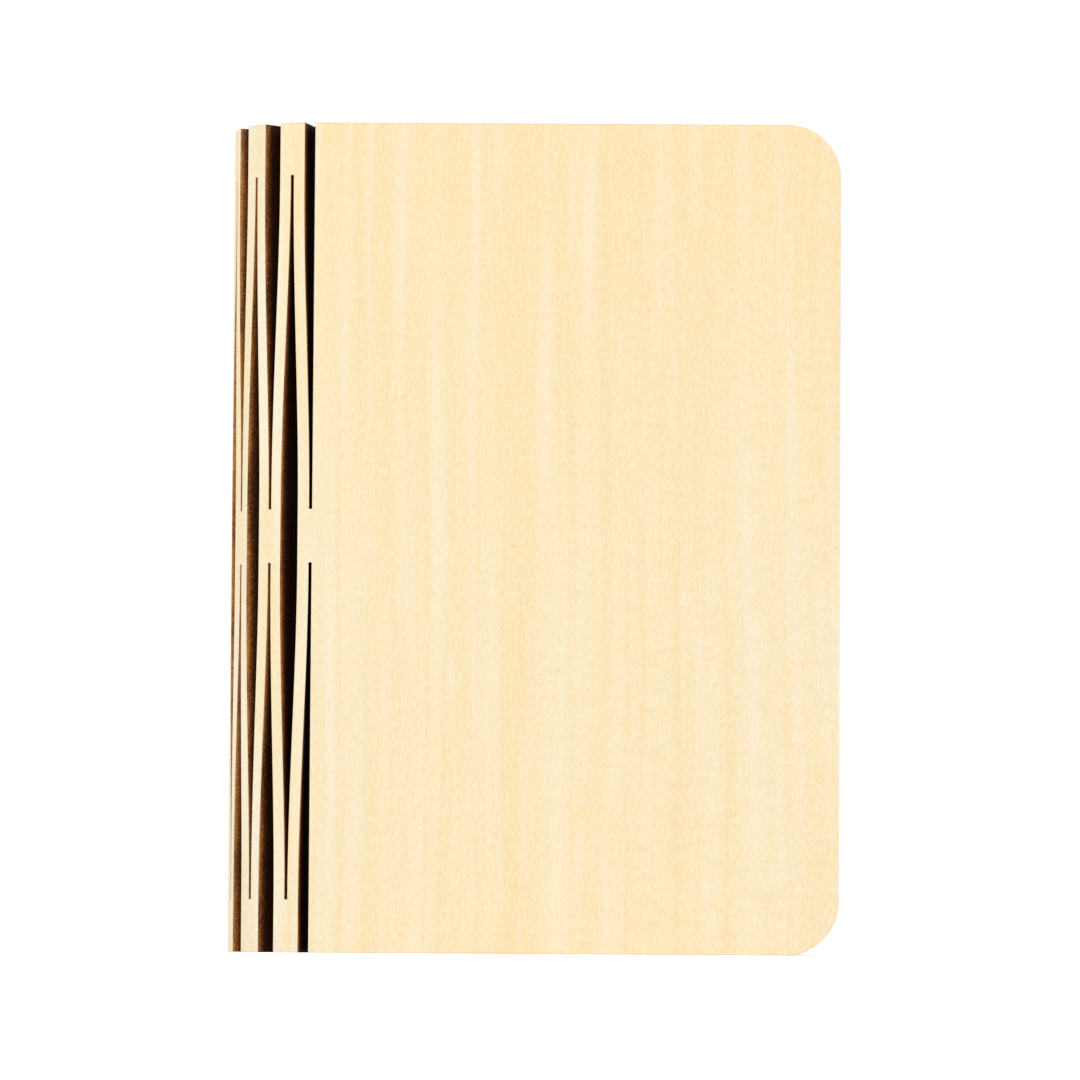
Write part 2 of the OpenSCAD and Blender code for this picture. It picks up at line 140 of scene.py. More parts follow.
class Surface:
    """One material in the making: its node tree and its shader."""

    def __init__(self, name, roughness=0.5, metallic=0.0, specular=0.5):
        self.material = bpy.data.materials.new(name)
        self.material.use_nodes = True
        self.tree = self.material.node_tree
        self.shader = self.tree.nodes["Principled BSDF"]
        self.shader.inputs["Roughness"].default_value = roughness
        self.shader.inputs["Metallic"].default_value = metallic
        self.shader.inputs["Specular IOR Level"].default_value = specular

    def node(self, kind, **settings):
        node = self.tree.nodes.new(kind)
        for key, value in settings.items():
            setattr(node, key, value)
        return node

    def feed(self, socket, value):
        """Links a socket to another one, or sets it to a plain value."""
        if isinstance(value, bpy.types.NodeSocket):
            self.tree.links.new(value, socket)
        else:
            socket.default_value = value

    def sheet(self):
        """The place on the unrolled board or page sheet, in millimetres."""
        return self.node("ShaderNodeAttribute", attribute_name="sheet").outputs["Vector"]

    def place(self):
        """The place in the row frame at rest, in millimetres."""
        coordinates = self.node("ShaderNodeTexCoord").outputs["Object"]
        return self.stretched(coordinates, (1 / MM, 1 / MM, 1 / MM))

    def stretched(self, vector, factors):
        """The vector times one factor for each axis, so a small factor draws a pattern out long."""
        node = self.node("ShaderNodeVectorMath", operation="MULTIPLY")
        self.feed(node.inputs[0], vector)
        self.feed(node.inputs[1], factors)
        return node.outputs["Vector"]

    def shifted(self, vector, offset):
        node = self.node("ShaderNodeVectorMath", operation="ADD")
        self.feed(node.inputs[0], vector)
        self.feed(node.inputs[1], offset)
        return node.outputs["Vector"]

    def component(self, vector, axis):
        node = self.node("ShaderNodeSeparateXYZ")
        self.feed(node.inputs[0], vector)
        return node.outputs[axis]

    def noise(self, vector, detail=2.0, roughness=0.5, distortion=0.0):
        node = self.node("ShaderNodeTexNoise")
        self.feed(node.inputs["Vector"], vector)
        node.inputs["Scale"].default_value = 1.0
        node.inputs["Detail"].default_value = detail
        node.inputs["Roughness"].default_value = roughness
        node.inputs["Distortion"].default_value = distortion
        return node.outputs["Fac"]

    def math(self, operation, first, second=0.0, third=0.0):
        node = self.node("ShaderNodeMath", operation=operation)
        self.feed(node.inputs[0], first)
        self.feed(node.inputs[1], second)
        self.feed(node.inputs[2], third)
        return node.outputs["Value"]

    def spread(self, factor, low, high, to_low=0.0, to_high=1.0):
        """Maps low..high to to_low..to_high and clips outside."""
        node = self.node("ShaderNodeMapRange")
        for place, value in enumerate((factor, low, high, to_low, to_high)):
            self.feed(node.inputs[place], value)
        return node.outputs["Result"]

    def ramp(self, factor, stops):
        """A colour ramp; stops are (position, colour)."""
        node = self.node("ShaderNodeValToRGB")
        elements = node.color_ramp.elements
        while len(elements) < len(stops):
            elements.new(0.5)
        for element, (position, colour) in zip(elements, stops):
            element.position = position
            element.color = colour
        self.feed(node.inputs["Fac"], factor)
        return node.outputs["Color"]

    def mix(self, factor, first, second):
        node = self.node("ShaderNodeMix", data_type="RGBA")
        self.feed(node.inputs["Factor"], factor)
        self.feed(node.inputs["A"], first)
        self.feed(node.inputs["B"], second)
        return node.outputs["Result"]

    def colour(self, value):
        self.feed(self.shader.inputs["Base Color"], value)

    def rough(self, value):
        self.feed(self.shader.inputs["Roughness"], value)

    def bump(self, height, distance, strength):
        node = self.node("ShaderNodeBump")
        node.inputs["Strength"].default_value = strength
        node.inputs["Distance"].default_value = distance
        self.feed(node.inputs["Height"], height)
        self.feed(self.shader.inputs["Normal"], node.outputs["Normal"])


def maple_face():
    """Pale maple veneer: straight warm bands, hair-fine upright grain, fine flecks and a little curl."""
    surface = Surface("maple_face", roughness=0.55, specular=0.25)
    # the middle of the warm stripe down the front cover, and how far the darker band reaches at the top and
    # bottom: the laser's singe, and along the bottom edge also painted shadow
    heart_along = -44.0
    singe_and_shadow_h = 0.15
    sheet = surface.sheet()
    along = surface.component(sheet, 0)
    height = surface.component(sheet, 1)

    # the grain sways a little on its way up the board
    wave = surface.noise(surface.stretched(sheet, (0.03, 0.012, 0.0)), detail=1)
    sway = surface.stretched(surface.math("SUBTRACT", wave, 0.5), (3.0, 0.0, 0.0))
    grained = surface.shifted(sheet, sway)
    bands = surface.noise(surface.stretched(grained, (0.11, 0.003, 0.1)), detail=3, roughness=0.6)
    streaks = surface.noise(surface.stretched(grained, (0.55, 0.008, 0.1)), detail=3)
    hairs = surface.noise(surface.stretched(grained, (2.6, 0.16, 0.1)), detail=2)
    flecks = surface.noise(surface.stretched(sheet, (2.6, 1.0, 0.1)), detail=2, roughness=0.6)
    blush = surface.noise(surface.stretched(grained, (0.4, 0.015, 0.4)), detail=2)
    curl = surface.noise(surface.stretched(sheet, (0.2, 0.55, 0.1)), detail=2, distortion=0.4)

    # wide bands, warmer towards the top, with curl towards the front cover's fore-edge
    warm = surface.mix(surface.spread(bands, 0.4, 0.64), tone(252, 237, 204), tone(250, 229, 184))
    warm = surface.mix(surface.spread(height, 55.0, 115.0, 0, 0.85), warm, tone(250, 225, 174))
    curled = surface.math("MULTIPLY", surface.spread(curl, 0.45, 0.68), surface.spread(along, -25.0, -60.0))
    warm = surface.mix(surface.math("MULTIPLY", curled, 0.45), warm, tone(248, 223, 172))

    # the warm stripe, then narrow streaks of both kinds
    from_heart = surface.math("ABSOLUTE", surface.math("SUBTRACT", along, heart_along))
    in_bands = surface.spread(bands, 0.35, 0.55)
    heart = surface.math("MULTIPLY", surface.spread(from_heart, 18.0, 6.0, 0, 0.7), in_bands)
    warm = surface.mix(heart, warm, tone(250, 226, 176))
    warm = surface.mix(surface.spread(streaks, 0.5, 0.68, 0, 0.6), warm, tone(249, 221, 170))
    warm = surface.mix(surface.spread(blush, 0.52, 0.7, 0, 0.6), warm, tone(252, 236, 210))

    # the spine's strips are paler here and there
    pale_noise = surface.noise(surface.stretched(grained, (0.3, 0.02, 0.0)), detail=1)
    on_spine = surface.spread(surface.math("ABSOLUTE", along), 14.0, 10.0)
    paler = surface.math("MULTIPLY", surface.spread(pale_noise, 0.45, 0.62, 0, 0.7), on_spine)
    warm = surface.mix(paler, warm, tone(253, 243, 221))

    # hairs and flecks over all of it
    warm = surface.mix(surface.spread(hairs, 0.5, 0.8, 0, 0.4), warm, tone(254, 244, 217))
    warm = surface.mix(surface.spread(flecks, 0.5, 0.3, 0, 0.36), warm, tone(243, 212, 160))
    warm = surface.mix(surface.spread(flecks, 0.5, 0.7, 0, 0.36), warm, tone(254, 247, 226))

    # a darker band along the top and bottom edges: the laser's singe, which along the bottom edge also
    # stands for painted shadow
    middle = BOOK_H / MM / 2
    from_middle = surface.math("ABSOLUTE", surface.math("SUBTRACT", height, middle))
    singe_and_shadow = surface.spread(from_middle, middle - singe_and_shadow_h, middle, 0, 0.5)
    surface.colour(surface.mix(singe_and_shadow, warm, tone(196, 168, 124)))
    surface.bump(surface.math("ADD", hairs, flecks), 0.01 * MM, 0.6)
    return surface.material


def burnt_cut():
    """The laser-cut edge of the board: scorched orange-brown under the outer face, charred below."""
    surface = Surface("burnt_cut", roughness=0.75, specular=0.2)
    sheet = surface.sheet()

    # the scorched layers run to uneven depths
    ragged = surface.noise(surface.stretched(sheet, (0.9, 0.9, 2.0)), detail=3)
    drift = surface.noise(surface.stretched(sheet, (0.15, 0.03, 0.0)), detail=2)
    uneven = surface.math("MULTIPLY_ADD", ragged, 0.5, drift)
    depth = surface.math("ADD", surface.component(sheet, 2), surface.math("SUBTRACT", uneven, 0.75))
    share = surface.math("MULTIPLY", depth, MM / BOARD_T)
    layers = surface.ramp(share, [
        (0.0, tone(234, 176, 110)), (0.07, tone(208, 140, 72)), (0.15, tone(162, 95, 40)),
        (0.25, tone(98, 49, 14)), (0.4, tone(58, 26, 5)), (0.85, tone(44, 19, 4)), (1.0, tone(88, 49, 18))])

    # dark patches, soot flecks, lighter fuzz near the outer face, and a trace of the plies
    patches = surface.noise(surface.stretched(sheet, (0.12, 0.1, 0.5)), detail=2)
    charred = surface.mix(surface.spread(patches, 0.48, 0.66, 0, 0.65), layers, tone(54, 24, 7))
    flecks = surface.noise(surface.stretched(sheet, (3.0, 3.0, 5.0)), detail=3, roughness=0.6)
    charred = surface.mix(surface.spread(flecks, 0.47, 0.66, 0, 0.6), charred, tone(30, 13, 4))
    near_face = surface.spread(share, 0.4, 0.0, 0, 0.65)
    fuzz = surface.math("MULTIPLY", surface.spread(flecks, 0.5, 0.3), near_face)
    charred = surface.mix(fuzz, charred, tone(220, 158, 92))
    ply = surface.noise(surface.stretched(sheet, (0.2, 0.05, 3.2)), detail=1)
    charred = surface.mix(surface.spread(ply, 0.55, 0.75, 0, 0.25), charred, tone(82, 50, 22))
    surface.colour(charred)
    surface.rough(surface.spread(flecks, 0.3, 0.7, 0.6, 0.9))
    surface.bump(flecks, 0.04 * MM, 0.6)
    return surface.material


def page_paper():
    """White tear-proof paper with faint swirled fibres."""
    surface = Surface("page_paper", roughness=0.6, specular=0.3)
    sheet = surface.sheet()
    swirled = surface.stretched(sheet, (0.5, 0.3, 0.4))
    fibres = surface.noise(swirled, detail=5, roughness=0.7, distortion=1.6)
    clouds = surface.noise(surface.stretched(sheet, (0.08, 0.08, 0.1)), detail=2)
    white = surface.mix(surface.spread(clouds, 0.35, 0.65), tone(246, 244, 238), tone(243, 241, 234))
    white = surface.mix(surface.spread(fibres, 0.55, 0.75, 0, 0.35), white, tone(252, 251, 248))
    surface.colour(white)
    surface.bump(fibres, 0.02 * MM, 0.5)
    return surface.material


def moulded_plastic(name, base, shade, roughness):
    """Moulded plastic with a fine spark-eroded texture."""
    surface = Surface(name, roughness=roughness, specular=0.25)
    place = surface.place()
    texture = surface.noise(surface.stretched(place, (6.0, 6.0, 6.0)), detail=2)
    clouds = surface.noise(surface.stretched(place, (0.15, 0.15, 0.08)), detail=2)
    surface.colour(surface.mix(surface.spread(clouds, 0.35, 0.65), base, shade))
    surface.rough(surface.spread(texture, 0.3, 0.7, roughness - 0.08, roughness + 0.08))
    surface.bump(texture, 0.015 * MM, 0.5)
    return surface.material


def frosted_plastic(name):
    """Milky plastic that scatters the LEDs' light."""
    surface = Surface(name, roughness=0.45, specular=0.5)
    place = surface.place()
    clouds = surface.noise(surface.stretched(place, (0.3, 0.3, 0.1)), detail=2)
    texture = surface.noise(surface.stretched(place, (8.0, 8.0, 8.0)), detail=1)
    surface.colour(surface.mix(surface.spread(clouds, 0.3, 0.7), tone(246, 246, 242), tone(238, 239, 236)))
    surface.shader.inputs["Transmission Weight"].default_value = 0.35
    surface.shader.inputs["IOR"].default_value = 1.49
    surface.bump(texture, 0.01 * MM, 0.4)
    return surface.material


def worn_metal(name, base, shade, roughness, brushed):
    """Plated or bare metal with fine brush marks and small changes of sheen."""
    surface = Surface(name, roughness=roughness, metallic=1.0)
    place = surface.place()
    marks = surface.noise(surface.stretched(place, brushed), detail=3)
    clouds = surface.noise(surface.stretched(place, (0.6, 0.6, 0.6)), detail=2)
    surface.colour(surface.mix(surface.spread(clouds, 0.3, 0.7), base, shade))
    surface.rough(surface.spread(marks, 0.3, 0.7, roughness - 0.06, roughness + 0.1))
    surface.bump(marks, 0.004 * MM, 0.4)
    return surface.material


def circuit_board(name, mask, track):
    """Solder mask with the faint raised lines of copper tracks under it."""
    surface = Surface(name, roughness=0.35, specular=0.5)
    place = surface.place()
    cells = surface.node("ShaderNodeTexVoronoi", distance="MANHATTAN", feature="DISTANCE_TO_EDGE")
    surface.feed(cells.inputs["Vector"], surface.stretched(place, (0.55, 0.55, 0.35)))
    cells.inputs["Scale"].default_value = 1.0
    lines = surface.spread(cells.outputs["Distance"], 0.03, 0.06, 1.0, 0.0)
    surface.colour(surface.mix(lines, mask, track))
    surface.bump(lines, 0.03 * MM, 0.6)
    return surface.material


def speckled(name, base, fleck, roughness, scale):
    """A dull moulded or foamed surface with small flecks."""
    surface = Surface(name, roughness=roughness, specular=0.35)
    flecks = surface.noise(surface.stretched(surface.place(), (scale, scale, scale)), detail=3)
    surface.colour(surface.mix(surface.spread(flecks, 0.45, 0.7), base, fleck))
    surface.bump(flecks, 0.03 * MM, 0.5)
    return surface.material


def core_plastic():
    """The black housing and caps of the core."""
    return moulded_plastic("core_plastic", tone(15, 12, 10), tone(11, 9, 8), 0.62)


def diffuser_plastic():
    """The milky strip over the LEDs."""
    return frosted_plastic("diffuser_plastic")


def adhesive():
    """Dark foam tape."""
    return speckled("adhesive", tone(70, 70, 72), tone(48, 48, 50), 0.8, 4.0)


def screw_steel():
    """Zinc-plated steel, turned round the screw's axis."""
    return worn_metal("screw_steel", tone(190, 190, 192), tone(165, 166, 170), 0.3, (0.3, 0.3, 6.0))


def magnet_nickel():
    """Bright nickel plate."""
    return worn_metal("magnet_nickel", tone(214, 212, 206), tone(196, 194, 190), 0.18, (0.8, 0.8, 0.8))


def strap_nickel():
    """Bare nickel strip, rolled lengthwise."""
    return worn_metal("strap_nickel", tone(205, 200, 190), tone(186, 182, 172), 0.32, (5.0, 5.0, 0.2))


def light_board_white():
    """White solder mask behind the LEDs."""
    return circuit_board("light_board_white", tone(240, 240, 236), tone(228, 229, 226))


def led_package():
    """The LEDs' yellow phosphor, unlit."""
    return speckled("led_package", tone(244, 214, 96), tone(236, 198, 72), 0.35, 3.0)


def control_board_green():
    """Green solder mask."""
    return circuit_board("control_board_green", tone(24, 92, 52), tone(36, 118, 66))


def chip_black():
    """Moulded epoxy of chips and sensor."""
    return speckled("chip_black", tone(34, 34, 36), tone(22, 22, 24), 0.45, 7.0)


def cell_wrap():
    """The cell's blue shrunk sleeve."""
    return moulded_plastic("cell_wrap", tone(70, 128, 178), tone(60, 116, 168), 0.35)


def socket_steel():
    """Nickel-plated sheet of the socket's shell."""
    return worn_metal("socket_steel", tone(200, 201, 204), tone(180, 182, 186), 0.25, (6.0, 6.0, 0.3))


def lens_plastic():
    """The charge indicator's light pipe."""
    return frosted_plastic("lens_plastic")


MATERIALS = {make.__name__: make() for make in (
    maple_face, burnt_cut, page_paper, core_plastic, diffuser_plastic, adhesive, screw_steel,
    magnet_nickel, strap_nickel, light_board_white, led_package, control_board_green, chip_black,
    cell_wrap, socket_steel, lens_plastic)}


# ---------- mesh helpers ----------

def mesh_object(name, points, faces):
    """A closed mesh with its normals outwards."""
    mesh = bpy.data.meshes.new(name)
    mesh.from_pydata([tuple(point) for point in points], [], faces)
    build = bmesh.new()
    build.from_mesh(mesh)
    bmesh.ops.recalc_face_normals(build, faces=build.faces)
    build.to_mesh(mesh)
    build.free()
    piece = bpy.data.objects.new(name, mesh)
    bpy.context.scene.collection.objects.link(piece)
    return piece


def write_sheet(piece, places):
    """Stores each vertex's place on the unrolled sheet, in millimetres."""
    attribute = piece.data.attributes.new("sheet", "FLOAT_VECTOR", "POINT")
    values = np.array([tuple(place) for place in places], np.float32) / MM
    attribute.data.foreach_set("vector", values.ravel())


def soften(piece, degrees=35):
    """Smooth shading, but sharp where faces meet at more than that angle."""
    piece.data.polygons.foreach_set("use_smooth", [True] * len(piece.data.polygons))
    piece.data.set_sharp_from_angle(angle=math.radians(degrees))


def rings_to_faces(ring_count, ring_size):
    """Quads between rings of points that follow each other, and a face on each end."""
    faces = []
    for ring in range(ring_count - 1):
        low, high = ring * ring_size, (ring + 1) * ring_size
        for corner in range(ring_size):
            following = (corner + 1) % ring_size
            faces.append((low + corner, low + following, high + following, high + corner))
    last = (ring_count - 1) * ring_size
    faces.append(tuple(range(ring_size)))
    faces.append(tuple(last + corner for corner in range(ring_size)))
    return faces


class Stretch:
    """A flat stretch of the board, seen from above: its origin on the board's middle plane, its
    heading, and the place of its origin along the unrolled board."""

    def __init__(self, origin, angle, start):
        self.origin = Vector((origin[0], origin[1], 0))
        self.along = Vector((math.cos(angle), math.sin(angle), 0))
        self.outward = Vector((-math.sin(angle), math.cos(angle), 0))
        self.start = start

    def point(self, across, height, depth):
        """The point at this distance along the stretch, height, and depth under the outer face."""
        side = self.along * across + self.outward * (BOARD_T / 2 - depth)
        return self.origin + side + Vector((0, 0, height))

    def sheet(self, point):
        """A point's place on the unrolled board, its height and its depth."""
        offset = Vector(point) - self.origin
        return (self.start + offset.dot(self.along), point[2], BOARD_T / 2 - offset.dot(self.outward))


def inset(outline, joined_heights):
    """The outline moved inwards by the arris, apart from its joined edges."""
    def edge(first, second):
        length = math.hypot(second[0] - first[0], second[1] - first[1])
        inward = (-(second[1] - first[1]) / length, (second[0] - first[0]) / length)
        joined = any(abs(first[1] - height) + abs(second[1] - height) < TINY for height in joined_heights)
        return inward, 0 if joined else ARRIS

    moved = []
    for place, point in enumerate(outline):
        (ax, ay), a_inset = edge(outline[place - 1], point)
        (bx, by), b_inset = edge(point, outline[(place + 1) % len(outline)])
        cross = ax * by - ay * bx
        if abs(cross) < TINY:
            moved.append((point[0] + ax * a_inset, point[1] + ay * a_inset))
        else:
            moved.append((point[0] + (a_inset * by - b_inset * ay) / cross,
                          point[1] + (b_inset * ax - a_inset * bx) / cross))
    return moved


def plate(name, stretch, outlines, joined_heights, mirrored=False):
    """Solids of board thickness over counter-clockwise outlines, with an arris round both faces."""
    points, faces = [], []
    way = -1 if mirrored else 1
    for outline in outlines:
        first = len(points)
        eased = inset(outline, joined_heights)
        rings = ((eased, 0), (outline, ARRIS), (outline, BOARD_T - ARRIS), (eased, BOARD_T))
        for ring, depth in rings:
            points += [stretch.point(way * across, height, depth) for across, height in ring]
        faces += [tuple(first + corner for corner in face) for face in rings_to_faces(4, len(outline))]
    return mesh_object(name, points, faces)


def dress_board(piece):
    """Veneer on the two faces of the board, the burnt cut on all the rest."""
    piece.data.materials.append(MATERIALS["maple_face"])
    piece.data.materials.append(MATERIALS["burnt_cut"])
    places = np.zeros(len(piece.data.vertices) * 3, np.float32)
    piece.data.attributes["sheet"].data.foreach_get("vector", places)
    depths = places[2::3] * MM
    face_reach = 1.5 * ARRIS
    for face in piece.data.polygons:
        corners = depths[list(face.vertices)]
        outer = corners.max() < face_reach
        inner = corners.min() > BOARD_T - face_reach
        face.material_index = 0 if outer or inner else 1
    soften(piece)


# ---------- the board: covers, link blocks and twisted strips ----------

def link_angle(link):
    """Heading of a link, from the front cover, 0, to the back cover, seen from above."""
    return math.pi * (1 - link / STRIP_COUNT)


def link_body(link):
    """The body that carries a link, counted from the front cover, 0."""
    if link == MIDDLE_LINK:
        return "core"
    return {0: "front_cover", STRIP_COUNT: "back_cover"}.get(link, f"spine_link_{link}")


def strip_start(strip):
    """Place of a strip's middle along the unrolled board."""
    return (strip - (STRIP_COUNT + 1) / 2) * SLOT_PITCH


def slot_tip(middle, end, way):
    """The round end of a slot that opens upwards (way 1) or downwards (way -1)."""
    first = math.acos(SLOT_W / 2 / SLOT_TIP_R)
    turn = math.pi + 2 * first
    angles = [first - turn * step / TIP_STEPS for step in range(TIP_STEPS + 1)]
    return [(middle + way * SLOT_TIP_R * math.cos(angle), end + way * SLOT_TIP_R * (1 + math.sin(angle)))
            for angle in angles]


def end_block_outline():
    """A lower end bridge with the feet of its two strips."""
    side = LINK_W / 2
    top = END_BRIDGE_H + PRONG
    return ([(-side, 0), (side, 0), (side, top), (SLOT_W / 2, top)]
            + slot_tip(0, END_BRIDGE_H, 1)
            + [(-SLOT_W / 2, top), (-side, top)])


def flipped(outline):
    """The outline turned upside down about the middle of the book, still counter-clockwise."""
    return [(across, BOOK_H - height) for across, height in reversed(outline)]


def middle_block_outline():
    """A middle bridge with the roots of its four half strips."""
    side = LINK_W / 2
    low, high = MIDDLE_LOW - PRONG, MIDDLE_HIGH + PRONG
    return ([(-side, low), (-SLOT_W / 2, low)]
            + slot_tip(0, MIDDLE_LOW, -1)
            + [(SLOT_W / 2, low), (side, low), (side, high), (SLOT_W / 2, high)]
            + slot_tip(0, MIDDLE_HIGH, 1)
            + [(-SLOT_W / 2, high), (-side, high)])


def cover_outline():
    """A cover, its middle bridge and the roots of its first strip, whose middle is at 0."""
    half_strip = STRIP_W / 2
    slot_middle = half_strip + SLOT_W / 2
    panel = half_strip + SLOT_W
    fore_edge = panel + FORE_X - COVER_EDGE_X
    low, high = MIDDLE_LOW - PRONG, MIDDLE_HIGH + PRONG
    return ([(-half_strip, low), (half_strip, low)]
            + slot_tip(slot_middle, MIDDLE_LOW, -1)
            + [(panel, 0)]
            + corner_arc(fore_edge - CORNER_R, CORNER_R, -math.pi / 2)
            + corner_arc(fore_edge - CORNER_R, BOOK_H - CORNER_R, 0)
            + [(panel, BOOK_H)]
            + slot_tip(slot_middle, MIDDLE_HIGH, 1)
            + [(half_strip, high), (-half_strip, high)])


def corner_arc(across, height, first_angle):
    """A quarter of a circle, counter-clockwise, round a corner's centre."""
    angles = [first_angle + math.pi / 2 * step / CORNER_STEPS for step in range(CORNER_STEPS + 1)]
    return [(across + CORNER_R * math.cos(angle), height + CORNER_R * math.sin(angle)) for angle in angles]


def drill(piece, places, radius, inner_y):
    """Cuts round pockets into the inner face of a cover."""
    for x, z in places:
        build = bmesh.new()
        bmesh.ops.create_cone(build, cap_ends=True, segments=POCKET_STEPS, radius1=radius, radius2=radius,
                              depth=2 * POCKET_DEPTH)
        mesh = bpy.data.meshes.new("pocket")
        build.to_mesh(mesh)
        build.free()
        mesh.transform(Matrix.Translation((x, inner_y, z)) @ Matrix.Rotation(math.pi / 2, 4, "X"))
        cutter = bpy.data.objects.new("pocket", mesh)
        bpy.context.scene.collection.objects.link(cutter)
        cut = piece.modifiers.new("pocket", "BOOLEAN")
        cut.operation = "DIFFERENCE"
        cut.solver = "EXACT"
        cut.object = cutter
        evaluated = piece.evaluated_get(bpy.context.evaluated_depsgraph_get())
        piece.data = bpy.data.meshes.new_from_object(evaluated)
        piece.modifiers.clear()
        bpy.data.objects.remove(cutter)


def node_centres(node):
    """The middle of each separate solid in a CAD node, as (x, z)."""
    mesh = frame["nodes"][node].data
    build = bmesh.new()
    build.from_mesh(mesh)
    bmesh.ops.remove_doubles(build, verts=build.verts, dist=TINY)
    centres, seen = [], set()
    for start in build.verts:
        if start in seen:
            continue
        island, waiting = [], [start]
        seen.add(start)
        while waiting:
            vertex = waiting.pop()
            island.append(vertex.co.copy())
            for edge in vertex.link_edges:
                other = edge.other_vert(vertex)
                if other not in seen:
                    seen.add(other)
                    waiting.append(other)
        xs, zs = [point.x for point in island], [point.z for point in island]
        centres.append(((min(xs) + max(xs)) / 2, (min(zs) + max(zs)) / 2))
    build.free()
    return centres


def make_cover(half):
    """A cover board with its magnets' pockets."""
    front = half == "front"
    link, strip = (0, 1) if front else (STRIP_COUNT, STRIP_COUNT)
    hinge = HINGES[strip]
    stretch = Stretch((hinge.x + STRIP_BOW, hinge.y), link_angle(link), strip_start(strip))
    board = plate(f"{half}_board", stretch, [cover_outline()],
                  (MIDDLE_LOW - PRONG, MIDDLE_HIGH + PRONG), mirrored=front)
    inner_y = hinge.y - HALVES[half] * BOARD_T / 2
    drill(board, node_centres(f"{half}_magnets"), COVER_POCKET_R, inner_y)
    if front:
        drill(board, node_centres("trigger_magnet"), TRIGGER_POCKET_R, inner_y)
    write_sheet(board, [stretch.sheet(vertex.co) for vertex in board.data.vertices])
    dress_board(board)
    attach(board, f"{half}_cover")
    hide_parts(f"{half}_cover")


def make_link(link):
    """The bridges of one link, at both ends on an odd link and at mid height on an even one."""
    middle = (HINGES[link] + HINGES[link + 1]) / 2
    start = (strip_start(link) + strip_start(link + 1)) / 2
    stretch = Stretch(middle, link_angle(link), start)
    if link % 2 == 1:
        outlines = [end_block_outline(), flipped(end_block_outline())]
        joined = (END_BRIDGE_H + PRONG, BOOK_H - END_BRIDGE_H - PRONG)
    else:
        outlines = [middle_block_outline()]
        joined = (MIDDLE_LOW - PRONG, MIDDLE_HIGH + PRONG)
    block = plate(f"spine_block_{link}", stretch, outlines, joined)
    write_sheet(block, [stretch.sheet(vertex.co) for vertex in block.data.vertices])
    dress_board(block)
    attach(block, link_body(link))
    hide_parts(f"spine_link_{link}")


def make_half_strip(strip, upper):
    """Half of a twisted strip, from its middle bridge to its end bridge."""
    before, after = strip - 1, strip
    root, foot, way = (before, after, 1) if before % 2 == 0 else (after, before, -1)
    low, high = MIDDLE_LOW - PRONG, END_BRIDGE_H + PRONG
    hinge = HINGES[strip]
    half_w, inner_arris = STRIP_W / 2, BOARD_T - ARRIS
    section = [(-half_w + ARRIS, 0), (half_w - ARRIS, 0),
               (half_w, ARRIS), (half_w, inner_arris),
               (half_w - ARRIS, BOARD_T), (-half_w + ARRIS, BOARD_T),
               (-half_w, inner_arris), (-half_w, ARRIS)]
    points, places = [], []
    for level in range(STRIP_LEVELS + 1):
        share = level / STRIP_LEVELS
        height = low + (high - low) * share
        height = BOOK_H - height if upper else height
        # the twist eases in and out, so the strip leaves both bridges straight
        twist = share * share * (3 - 2 * share)
        angle = link_angle(root) + twist * (link_angle(foot) - link_angle(root))
        shift = STRIP_BOW * (2 * twist - 1) * way
        centre = (hinge.x + shift * math.cos(angle), hinge.y + shift * math.sin(angle))
        stretch = Stretch(centre, angle, strip_start(strip))
        points += [stretch.point(across, height, depth) for across, depth in section]
        places += [(stretch.start + across, height, depth) for across, depth in section]
    name = f"spine_strip_{strip}_{'upper' if upper else 'lower'}"
    piece = mesh_object(name, points, rings_to_faces(STRIP_LEVELS + 1, len(section)))
    write_sheet(piece, places)
    dress_board(piece)
    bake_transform(piece)


# ---------- the pages ----------

def leaf_body(half, leaf):
    """The body that carries a leaf; leaf 0 is glued to its cover."""
    return f"{half}_cover" if leaf == 0 else f"{half}_leaf_{leaf}"


def leaf_y(half, leaf):
    """The middle of a leaf's thickness when the book is shut."""
    return HALVES[half] * LEAF_PITCH * (LEAVES_PER_HALF - 0.5 - leaf)


def page_mesh(name, line, ripple=None):
    """A page surface of leaf thickness over a line of (x, y, normal angle, sheet place)."""
    points, places = [], []
    for row in range(PAGE_ROWS + 1):
        height = LEAF_LOW + (LEAF_HIGH - LEAF_LOW) * row / PAGE_ROWS
        ring = []
        for side in (-1, 1):
            stations = line if side < 0 else list(reversed(line))
            for x, y, normal, along in stations:
                wave = ripple(x, height) if ripple else 0
                ring.append(((x + side * LEAF_T / 2 * math.cos(normal),
                              y + side * LEAF_T / 2 * math.sin(normal) + wave, height),
                             (along, height, side * LEAF_T / 2)))
        points += [point for point, place in ring]
        places += [place for point, place in ring]
    piece = mesh_object(name, points, rings_to_faces(PAGE_ROWS + 1, 2 * len(line)))
    write_sheet(piece, places)
    piece.data.materials.append(MATERIALS["page_paper"])
    soften(piece, degrees=50)
    return piece


def leaf_sheet_start(half, leaf):
    """Where a leaf starts along the unfolded page sheet."""
    return HALVES[half] * (LEAVES_PER_HALF - leaf) * LEAF_W


